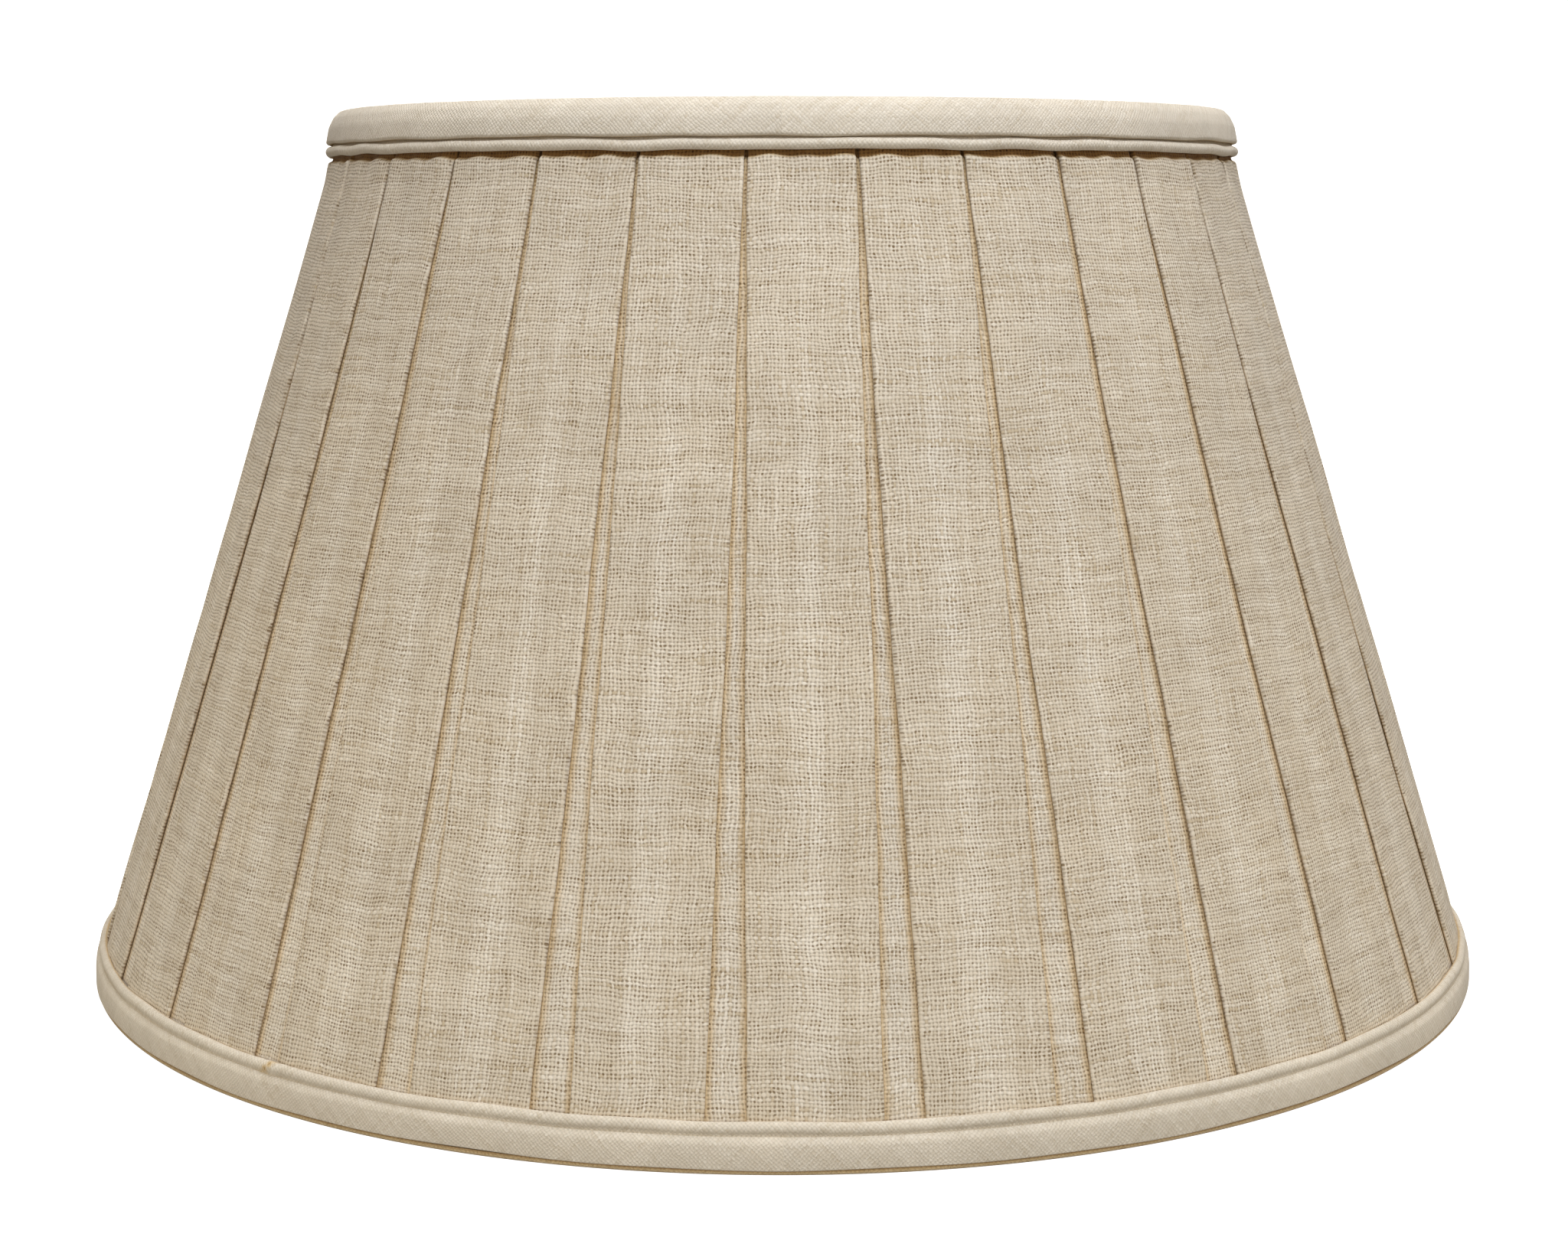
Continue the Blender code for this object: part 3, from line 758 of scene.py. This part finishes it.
class SHADE_OT_trims(bpy.types.Operator):
    """Make the bias bands and covered cords round both edges"""
    bl_idname = "shade.trims"
    bl_label = "Bands and cords"

    def execute(self, context):
        self.top_band()
        self.bottom_band()
        self.bead("top_cord_cover", "top_trim_piping", seed=31, up=TOP_BEAD_UP,
                  out=0.45 * MM, half_up=1.15 * MM, half_out=1.2 * MM,
                  band_side=1, join=math.radians(-170))
        self.bead("bottom_cord_cover", "bottom_trim_piping", seed=32, up=BOTTOM_BEAD_UP,
                  out=0.15 * MM, half_up=1.2 * MM, half_out=0.95 * MM,
                  band_side=-1, join=math.radians(-39))
        return {"FINISHED"}

    def top_band(self):
        top, foot = WALL_TOP, TOP_BAND_FOOT
        corners = [
            (top - 1.1 * MM, -7.1 * MM, 0.4 * MM),
            (top - 0.1 * MM, -7.1 * MM, 0.4 * MM),
            (top + 0.1 * MM, -2.4 * MM, 2.0 * MM),
            (top - 0.2 * MM, 1.0 * MM, 1.2 * MM),
            (top - 2.6 * MM, 2.3 * MM, 4.0 * MM),
            (top - 5.6 * MM, 2.8 * MM, 6.0 * MM),
            (foot, 2.3 * MM, 0.7 * MM),
            (foot + 0.1 * MM, 0.4 * MM, 0.5 * MM),
            (top - 1.4 * MM, 0.35 * MM, 0.5 * MM),
        ]

        def shift(angle, up, out):
            low = smooth((top - up) / (9 * MM))
            up_by = waves(angle, 5, (3, 7, 16, 29), 0.4 * MM) * low
            out_by = waves(angle, 6, (9, 23, 41), 0.15 * MM) * smooth(out / MM)
            return up_by, out_by

        outline = rounded(corners)
        # Painted shade round the band's foot, where it tucks in above the bead, on all but
        # its outer face.
        under = smooth((foot + 1.2 * MM - outline[:, 0]) / (0.8 * MM))
        under = 0.8 * under * (1 - smooth((outline[:, 1] - 0.9 * MM) / (0.5 * MM)))
        piece, length, girth = ring_piece("top_band", outline, 480, shift, under)
        finish_piece(piece, "bias_linen",
                     ["top_trim_band_1", "top_trim_band_2"])

    def bottom_band(self):
        foot, head = 1.6 * MM, 9.2 * MM
        corners = [
            (foot, -1.0 * MM, 0.2 * MM),
            (foot - 0.1 * MM, -0.25 * MM, 0.3 * MM),
            (foot + 3.4 * MM, 0.75 * MM, 8.0 * MM),
            (head - 1.8 * MM, 1.25 * MM, 2.5 * MM),
            (head, 0.3 * MM, 0.3 * MM),
            (head - 0.3 * MM, -0.1 * MM, 0.15 * MM),
            (foot + 0.55 * MM, -0.05 * MM, 0.2 * MM),
            (foot + 0.5 * MM, -1.0 * MM, 0.2 * MM),
        ]

        def shift(angle, up, out):
            low = 1 - smooth((up - foot) / (6 * MM))
            up_by = waves(angle, 7, (5, 11, 26), 0.3 * MM) * low
            out_by = waves(angle, 8, (13, 27, 44), 0.1 * MM) * smooth(out / MM)
            return up_by, out_by

        piece, length, girth = ring_piece("bottom_band", rounded(corners, 5), 600, shift)
        finish_piece(piece, "bias_linen",
                     ["bottom_trim_band_1", "bottom_trim_band_2"])

    def bead(self, name, node, seed, up, out, half_up, half_out, band_side, join):
        """Cord covered by a folded strip. Its raw edges lie hidden under the band, which
        is above (1) or below (-1), and its ends lap at the angle `join`."""
        segments, round_points, tongue_points = 900, 19, 4
        turn = band_side * (np.linspace(0.08, 0.96, round_points) * TURN + math.pi / 2)
        tongue = band_side * np.linspace(6.3, 2.2, tongue_points) * MM
        ups = np.concatenate([up + tongue, up + half_up * np.sin(turn),
                              up + tongue[::-1]])
        outs = np.concatenate([np.full(tongue_points, -0.2 * MM),
                               out + half_out * np.cos(turn),
                               np.full(tongue_points, 0.22 * MM)])
        angles = np.linspace(0, TURN, segments, endpoint=False)[None, :]
        past = (angles - TURN - join) * wall(up, out)[0] - 1.2 * (ups - up)[:, None]
        overlap = smooth(past / (0.8 * MM)) * np.exp(-np.maximum(past, 0) / (7 * MM))
        pleats = np.cos((angles - FIRST_PANEL) * PLEATS)
        moved_up = waves(angles, seed, (4, 9, 21, 38), 0.35 * MM) + 0.08 * MM * pleats
        moved_out = waves(angles, seed + 9, (17, 34, 52), 0.12 * MM)
        moved_out = moved_out + 0.45 * MM * overlap
        in_bead = np.repeat([0, 1, 0], [tongue_points, round_points, tongue_points])
        in_bead = in_bead[:, None]
        points = on_wall(angles, ups[:, None] + moved_up * in_bead,
                         outs[:, None] + moved_out * in_bead)
        run = run_along(ups, outs)
        length = TURN * wall(up, out)[0]
        ring = np.linspace(0, length, segments + 1)
        cloth = together(ring, run[:, None])
        # Painted shade on the strip's tongues where they lie against the wall, and a line
        # of painted shade where its ends lap.
        wall_side_shade = 0.6 * (1 - smooth((outs + 0.1 * MM) / (0.5 * MM)))
        crease = 0.9 * np.exp(-(past / (0.8 * MM)) ** 2)
        marks = {"painted_shading": np.maximum(wall_side_shade[:, None], crease)}
        piece = grid_mesh(name, points, cloth, marks, round_columns=True)
        thicken(piece, STRIP_THICKNESS)
        finish_piece(piece, "bias_linen", [node])


# ---------------------------------------------------------------- inside

def strip_on_wall(name, start, sweep, ups, outs, columns, shape):
    """Open strip of cloth on the wall between two angles, with its cloth UVs. shape
    gives how far it stands out at an angle and height."""
    angles = np.linspace(start, start + sweep, columns)[None, :]
    up = ups[:, None]
    out = outs[:, None] + shape(angles, up)
    radius = wall(up, out)[0].mean()
    run = run_along(ups, outs)
    cloth = together((angles - start) * radius, run[:, None])
    piece = grid_mesh(name, on_wall(angles, up, out), cloth)
    return piece, sweep * float(radius), float(run[-1])


class SHADE_OT_lining(bpy.types.Operator):
    """Stretch the two halves of the lining inside the ribs"""
    bl_idname = "shade.lining"
    bl_label = "Lining"

    def execute(self, context):
        seam_gap = 0.3 * MM / PANEL_BOTTOM_RADIUS
        ups = np.linspace(5.0 * MM, WALL_TOP - 7 * MM, 40)
        part = (ups - ups[0]) / (ups[-1] - ups[0])
        first = FIRST_PANEL + 2 * TURN / RIBS
        for i in range(2):
            start = first + i * TURN / 2

            def tension(angle, up):
                across = (angle - start) / (TURN / 2)
                hem = np.exp(-np.minimum(across, 1 - across) ** 2 / 0.004 ** 2)
                along = smooth(part * 6) * smooth((1 - part) * 6)
                pulls = (np.sin(angle * 44 + up * 30) * 0.25
                         + np.sin(angle * 71 - up * 22 + i) * 0.15)
                ends = 1 - 0.6 * np.sin(math.pi * part)
                return MM * (pulls * ends[:, None] * along[:, None] + 0.9 * hem)

            piece, wide, tall = strip_on_wall(
                f"lining_cloth_{i + 1}", start + seam_gap, TURN / 2 - 2 * seam_gap,
                ups, np.full_like(ups, LINING_OUT), 240, tension)
            thicken(piece, LINING_THICKNESS)
            finish_piece(piece, "lining_cloth", [f"lining_half_{i + 1}"])
        return {"FINISHED"}


class SHADE_OT_bindings(bpy.types.Operator):
    """Bind the lining's edges and the foot of the shade"""
    bl_idname = "shade.bindings"
    bl_label = "Inner bindings"

    def execute(self, context):
        self.foot_binding()
        self.head_binding()
        return {"FINISHED"}

    def foot_binding(self):
        inner = -8.15 * MM
        face = -7.35 * MM
        cos, sin = math.cos(SLANT), math.sin(SLANT)

        def at(radius, height):
            """Wall coordinates of a radius and a height."""
            sideways = radius - PANEL_BOTTOM_RADIUS
            return height * cos - sideways * sin, height * sin + sideways * cos

        def corner(radius, height, rounding):
            return (*at(radius, height), rounding)

        foot_inner = wall(-inner * sin / cos, inner)[0]
        corners = [
            corner(foot_inner, 0.0, 0.5 * MM),
            corner(199.4 * MM, 0.0, 0.6 * MM),
            corner(199.3 * MM, 1.4 * MM, 0.3 * MM),
            corner(198.5 * MM, 1.3 * MM, 0.2 * MM),
            corner(198.0 * MM, 0.8 * MM, 0.3 * MM),
            ((0.8 * MM - face * sin) / cos, face, 0.4 * MM),
            (13.5 * MM, face, 0.3 * MM),
            (13.6 * MM, inner, 0.3 * MM),
        ]

        def shift(angle, up, out):
            high = smooth((up - 6 * MM) / (6 * MM)) * (out < -6 * MM)
            return waves(angle, 12, (7, 15, 33), 0.5 * MM) * high, 0

        outline = rounded(corners, 3)
        # Painted shade on the binding's outer lip, which shows under the bottom band,
        # darker towards its top.
        lip_shade = smooth((outline[:, 1] + 4 * MM) / MM)
        lip_shade = lip_shade * (0.45 + 0.35 * smooth((outline[:, 0] - 0.7 * MM) / (0.5 * MM)))
        piece, length, girth = ring_piece("foot_binding", outline, 480, shift, lip_shade)
        finish_piece(piece, "bias_linen_inner",
                     ["bottom_inner_binding_1", "bottom_inner_binding_2"])

    def head_binding(self):
        ups = np.array([12.9, 12.6, 9, 6.0, 4.2, 2.6, 1.1, 0.55])
        ups = WALL_TOP - ups * MM
        outs = np.array([-7.5, -7.85, -7.9, -7.9, -7.9, -7.9, -7.7, -7.3]) * MM

        def shape(angle, _):
            return waves(angle, 14, (9, 22, 40), 0.25 * MM)

        piece, wide, tall = strip_on_wall(
            "head_binding", FIRST_PANEL, TURN, ups, outs, 481, shape)
        modify(piece, "WELD", merge_threshold=0.01 * MM)
        thicken(piece, 0.5 * MM)
        finish_piece(piece, "bias_linen_inner", ["top_inner_binding"])


# ---------------------------------------------------------------- fitter

def arm_angle(i):
    return FIRST_ARM + TURN * i / ARMS


def arm_axis():
    """Radius and height along a spider arm, level at both ends with a soft S between.
    The heights are taken from its CAD node."""
    low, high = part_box("spider_arm_1")
    ring_height = high[2] - ARM_WIRE_RADIUS
    hub_height = low[2] + ARM_WIRE_RADIUS
    at_ring, dips_from, dips_to = 119.9 * MM, 106 * MM, 26 * MM
    path = [(at_ring, ring_height)]
    for part in np.linspace(0, 1, 25):
        radius = dips_from + (dips_to - dips_from) * part
        dip = (ring_height - hub_height) * (3 - 2 * part) * part * part
        path.append((radius, ring_height - dip))
    return path + [(radius * MM, hub_height) for radius in (17, 12, 10.6)]


class SHADE_OT_spider(bpy.types.Operator):
    """Turn the hub and draw the three arms of the fitter"""
    bl_idname = "shade.spider"
    bl_label = "Spider fitter"

    def execute(self, context):
        self.hub()
        self.arms()
        return {"FINISHED"}

    def hub(self):
        """Washer with a raised boss round the hole for the harp's stud."""
        low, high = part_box("spider_hub")
        flange, boss, hole = 14 * MM, 9.5 * MM, 5.6 * MM
        plate = 1.6 * MM
        bpy.ops.object.select_all(action="DESELECT")
        bpy.ops.mesh.primitive_cylinder_add(
            vertices=96, radius=flange, depth=plate,
            location=(0, 0, low[2] + plate / 2))
        piece = bpy.context.object
        piece.name = "hub_washer"
        bpy.ops.object.mode_set(mode="EDIT")
        bpy.ops.mesh.select_mode(type="FACE")
        self.pick_cap(piece, 1)
        bpy.ops.mesh.inset(thickness=flange - boss)
        bpy.ops.mesh.extrude_region_move(
            TRANSFORM_OT_translate={"value": (0, 0, high[2] - low[2] - plate)})
        bpy.ops.mesh.inset(thickness=boss - hole)
        bpy.ops.mesh.delete(type="ONLY_FACE")
        self.pick_cap(piece, -1)
        bpy.ops.mesh.inset(thickness=flange - hole)
        bpy.ops.mesh.delete(type="ONLY_FACE")
        bpy.ops.mesh.select_mode(type="EDGE")
        self.pick_open_edges(piece)
        bpy.ops.mesh.bridge_edge_loops()
        bpy.ops.mesh.select_all(action="SELECT")
        bpy.ops.mesh.normals_make_consistent(inside=False)
        bpy.ops.object.mode_set(mode="OBJECT")
        ease_metal(piece, 3)
        finish_piece(piece, "brass_plate", ["spider_hub"])

    def pick_cap(self, piece, side):
        """Select the flat end face that points up (1) or down (-1)."""
        bpy.ops.mesh.select_all(action="DESELECT")
        bm = bmesh.from_edit_mesh(piece.data)
        cap = max(bm.faces, key=lambda f: (len(f.verts) > 4) * f.normal.z * side)
        cap.select = True
        bm.faces.active = cap
        bmesh.update_edit_mesh(piece.data)

    def pick_open_edges(self, piece):
        """Select the two edge loops that the deleted faces leave open."""
        bpy.ops.mesh.select_all(action="DESELECT")
        bm = bmesh.from_edit_mesh(piece.data)
        for edge in bm.edges:
            edge.select = edge.is_boundary
        bmesh.update_edit_mesh(piece.data)

    def arms(self):
        """Draw one arm out along its path, and turn a copy of it for each of the others."""
        spots = [Vector((0, -radius, height)) for radius, height in arm_axis()]
        bpy.ops.object.select_all(action="DESELECT")
        bpy.ops.mesh.primitive_circle_add(
            vertices=20, radius=ARM_WIRE_RADIUS, fill_type="NGON",
            location=spots[0], rotation=(math.pi / 2, 0, 0))
        first = bpy.context.object
        bpy.ops.object.mode_set(mode="EDIT")
        bpy.ops.mesh.select_all(action="SELECT")
        for here, ahead in zip(spots, spots[1:]):
            bpy.ops.mesh.extrude_region_move(
                TRANSFORM_OT_translate={"value": ahead - here})
        bpy.ops.mesh.select_all(action="SELECT")
        bpy.ops.mesh.normals_make_consistent(inside=False)
        bpy.ops.object.mode_set(mode="OBJECT")
        ease_metal(first, 2)
        plain = first.data.copy()
        for i in range(ARMS):
            piece = first if i == 0 else bpy.data.objects.new("arm", plain.copy())
            if i:
                bpy.context.collection.objects.link(piece)
            piece.name = f"spider_rod_{i + 1}"
            piece.data.transform(Matrix.Rotation(arm_angle(i), 4, "Z"))
            finish_piece(piece, "brass_plate", [f"spider_arm_{i + 1}"])


class SHADE_OT_neateners(bpy.types.Operator):
    """Cup a strip of lining cloth under each arm"""
    bl_idname = "shade.neateners"
    bl_label = "Neateners"

    def execute(self, context):
        height = arm_axis()[0][1]
        turn = np.linspace(-math.pi, 0, 15)
        cup = 2.15 * MM
        across = np.concatenate([[-cup * 1.1, -cup * 1.02], cup * np.cos(turn),
                                 [cup * 1.02, cup * 1.1]])
        up = np.concatenate([[2.4 * MM, 1.2 * MM], cup * np.sin(turn),
                             [1.2 * MM, 2.4 * MM]])
        run = run_along(across, up)
        length = 10.2 * MM
        radii = (np.linspace(116.4, 106.2, 11) * MM)[:, None]
        flare = 1 + 0.18 * ((radii - radii.mean()) / (length / 2)) ** 2
        cup_points = together(across * flare, -radii, height + up * flare)
        for i in range(ARMS):
            turned = np.array(Matrix.Rotation(arm_angle(i), 3, "Z"))
            piece = grid_mesh(f"arm_neatener_cloth_{i + 1}", cup_points @ turned.T,
                              together(run, radii))
            thicken(piece, STRIP_THICKNESS)
            finish_piece(piece, "lining_cloth", [f"arm_neatener_{i + 1}"])
        return {"FINISHED"}


class SHADE_OT_wires(bpy.types.Operator):
    """Finish the ribs and rings, and the tape round the rings"""
    bl_idname = "shade.wires"
    bl_label = "Frame wires"

    def execute(self, context):
        for name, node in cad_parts.items():
            if name.startswith("rib_") or name in ("top_ring", "bottom_ring"):
                self.coat(node, "coated_wire")
            elif name.endswith("_tape"):
                self.coat(node, "ring_tape")
        return {"FINISHED"}

    def coat(self, node, material_name):
        for slot in node.material_slots:
            slot.material = bpy.data.materials[material_name]


# ---------------------------------------------------------------- materials and stage

class SHADE_OT_materials(bpy.types.Operator):
    """Mix the linen, lining, metal and tape finishes"""
    bl_idname = "shade.materials"
    bl_label = "Materials"

    def execute(self, context):
        colours = context.scene.shade_colours
        woven_threads()
        linen_material("pleated_linen", pleated=True, gaps=1.0, relief=0.86,
                       contrast=1.0, pitch=context.scene.shade_sizes.thread_pitch)
        linen_material("bias_linen", turn=BIAS, shade=0.96)
        # Darker copy of the bias linen for the inner bindings: painted shade, as they sit
        # inside the shade and under the bottom band.
        linen_material("bias_linen_inner", turn=BIAS, shade=0.86)
        lining_material()
        metal_material("brass_plate", tuple(colours.brass), 1.0, 0.28)
        metal_material("coated_wire", tuple(colours.wire), 0.2, 0.42)
        tape_material()
        return {"FINISHED"}


class SHADE_OT_stage(bpy.types.Operator):
    """Set the pale floor, the soft studio light and the camera"""
    bl_idname = "shade.stage"
    bl_label = "Stage"

    def execute(self, context):
        self.floor(context)
        self.flags()
        self.lights(context)
        self.camera(context)
        return {"FINISHED"}

    def flags(self):
        """Dark cards at the sides, out of view, that deepen the ends of the shade."""
        tree = new_material("studio_brown")
        tree.finish({"Base Color": (0.13, 0.08, 0.03, 1), "Roughness": 0.9})
        for name, x in (("left_flag", -0.44), ("right_flag", 0.52)):
            y, z = np.meshgrid([-0.45, 0.4], [0.22, 0.65])
            points = together(x, y, z)
            card = grid_mesh(name, points, points[..., 1:])
            card.data.materials.append(bpy.data.materials["studio_brown"])
            card.visible_camera = False
            card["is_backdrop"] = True

    def floor(self, context):
        """Floor that sweeps up into a backdrop. It is white to the camera only, so that
        it doesn't light the shade from below."""
        bend, near, far, side, tall = 0.8, -4.0, 2.2, 5.0, 4.0
        turn = np.linspace(0, math.pi / 2, 17)
        y = np.concatenate([[near], far + bend * np.sin(turn), [far + bend]])
        z = np.concatenate([[0.0], bend - bend * np.cos(turn), [tall]])
        points = together([-side, side], y[:, None], z[:, None])
        sweep = grid_mesh("studio_floor", points, points[..., :2])
        tree = new_material("studio_white")
        tree.finish({
            "Base Color": (*context.scene.shade_colours.floor, 1), "Roughness": 0.9,
            "Emission Color": (1, 1, 1, 1),
            "Emission Strength": tree.add("ShaderNodeLightPath").outputs["Is Camera Ray"]})
        sweep.data.materials.append(bpy.data.materials["studio_white"])
        sweep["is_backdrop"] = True

    def lights(self, context):
        shade, backdrop = Vector((0, 0, 0.12)), Vector((0, 2.4, 0.6))
        white, cool = (1.0, 1.0, 1.0), (0.93, 0.99, 1.13)
        warm, amber = (1.0, 0.93, 0.80), (1.0, 0.89, 0.64)
        for name, spot, aim, size, power, tint in (
            ("overhead", (0.1, -0.42, 0.95), shade, (1.0, 0.7), 7.8, cool),
            ("key", (0.15, -1.2, 1.6), shade, (1.8, 1.0), 6.0, white),
            ("front", (0.5, -2.6, 0.7), shade, (2.4, 1.4), 8.6, white),
            ("fill_left", (-2.2, -0.9, 0.4), shade, (1.2, 0.8), 10.5, amber),
            ("fill_right", (2.2, -0.9, 0.4), shade, (1.2, 0.8), 6.5, amber),
            ("backdrop", (0.0, 0.9, 2.6), backdrop, (3.0, 1.6), 40.0, warm),
        ):
            light = bpy.data.lights.new(name, "AREA")
            light.shape = "RECTANGLE"
            light.size, light.size_y = size
            light.energy = power
            light.color = tint
            holder = bpy.data.objects.new(name, light)
            holder.location = spot
            facing = (aim - Vector(spot)).to_track_quat("-Z", "Y")
            holder.rotation_euler = facing.to_euler()
            context.collection.objects.link(holder)
        world = bpy.data.worlds.new("studio")
        context.scene.world = world
        world.use_nodes = True
        sky = world.node_tree.nodes["Background"].inputs
        sky["Color"].default_value = (1, 0.92, 0.78, 1)
        sky["Strength"].default_value = 0.32
        context.scene.view_settings.view_transform = "Standard"

    def camera(self, context):
        lens = bpy.data.cameras.new("camera")
        lens.sensor_width = 36.0
        lens.lens = 60.1
        holder = bpy.data.objects.new("camera", lens)
        holder.location = (0.0, -0.7620, 0.2160)
        pan, tilt, roll = -0.0006, math.radians(90 - 9.08), -0.0012
        aim = Matrix.Rotation(pan, 4, "Z") @ Matrix.Rotation(tilt, 4, "X")
        aim = aim @ Matrix.Rotation(roll, 4, "Z")
        holder.rotation_euler = aim.to_euler()
        context.collection.objects.link(holder)
        context.scene.camera = holder


class SHADE_PT_panel(bpy.types.Panel):
    bl_label = "Lamp shade"
    bl_space_type = "VIEW_3D"
    bl_region_type = "UI"
    bl_category = "Lamp shade"

    def draw(self, context):
        layout = self.layout
        for group in (context.scene.shade_sizes, context.scene.shade_colours):
            for name in group.__annotations__:
                layout.prop(group, name)
        for operator in OPERATORS:
            layout.operator(operator.bl_idname)


OPERATORS = (
    SHADE_OT_materials,
    SHADE_OT_stage,
    SHADE_OT_cover,
    SHADE_OT_trims,
    SHADE_OT_lining,
    SHADE_OT_bindings,
    SHADE_OT_spider,
    SHADE_OT_neateners,
    SHADE_OT_wires,
)
CLASSES = (ShadeSizes, ShadeColours, *OPERATORS, SHADE_PT_panel)


def register():
    for cls in CLASSES:
        bpy.utils.register_class(cls)
    bpy.types.Scene.shade_sizes = bpy.props.PointerProperty(type=ShadeSizes)
    bpy.types.Scene.shade_colours = bpy.props.PointerProperty(type=ShadeColours)


def unregister():
    del bpy.types.Scene.shade_colours
    del bpy.types.Scene.shade_sizes
    for cls in reversed(CLASSES):
        bpy.utils.unregister_class(cls)


def main():
    register()
    bpy.ops.shade.materials()
    bpy.ops.shade.stage()
    bpy.ops.shade.cover()
    bpy.ops.shade.trims()
    bpy.ops.shade.lining()
    bpy.ops.shade.bindings()
    bpy.ops.shade.spider()
    bpy.ops.shade.neateners()
    bpy.ops.shade.wires()
    boxes = {"cad": CAD_BOX, "visual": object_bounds()}
    sizes = {name: [[float(part) for part in corner] for corner in box]
             for name, box in boxes.items()}


if __name__ == "__main__":
    main()
